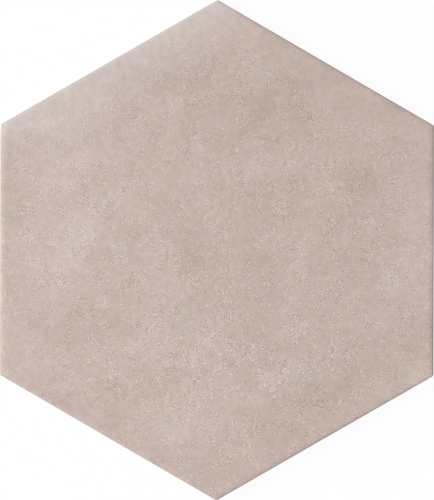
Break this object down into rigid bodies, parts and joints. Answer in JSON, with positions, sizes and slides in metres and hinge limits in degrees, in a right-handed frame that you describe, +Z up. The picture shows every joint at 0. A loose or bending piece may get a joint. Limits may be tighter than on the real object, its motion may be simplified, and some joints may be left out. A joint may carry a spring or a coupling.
{
  "type": "hexagonal floor tile",
  "caption": "Hexagonal pressed floor tile with a matt mottled blush-beige cement-look face, softly rounded edges and a keyed back.",
  "frame": {"origin": "middle of the tile on the plane that its back rests on", "axes": "+Z up out of the walking face, +X towards the middle of a side, +Y towards a corner"},
  "size_m": [0.2164, 0.2496, 0.009],
  "materials": {
    "matt_glazed_porcelain": "matt cement-look glaze in mottled blush beige, with fine lighter and darker grains; unglazed pinkish-beige body on the sides and back"
  },
  "bodies": {
    "root": {"hexagon_tile": "matt_glazed_porcelain"}
  },
  "joints": []
}
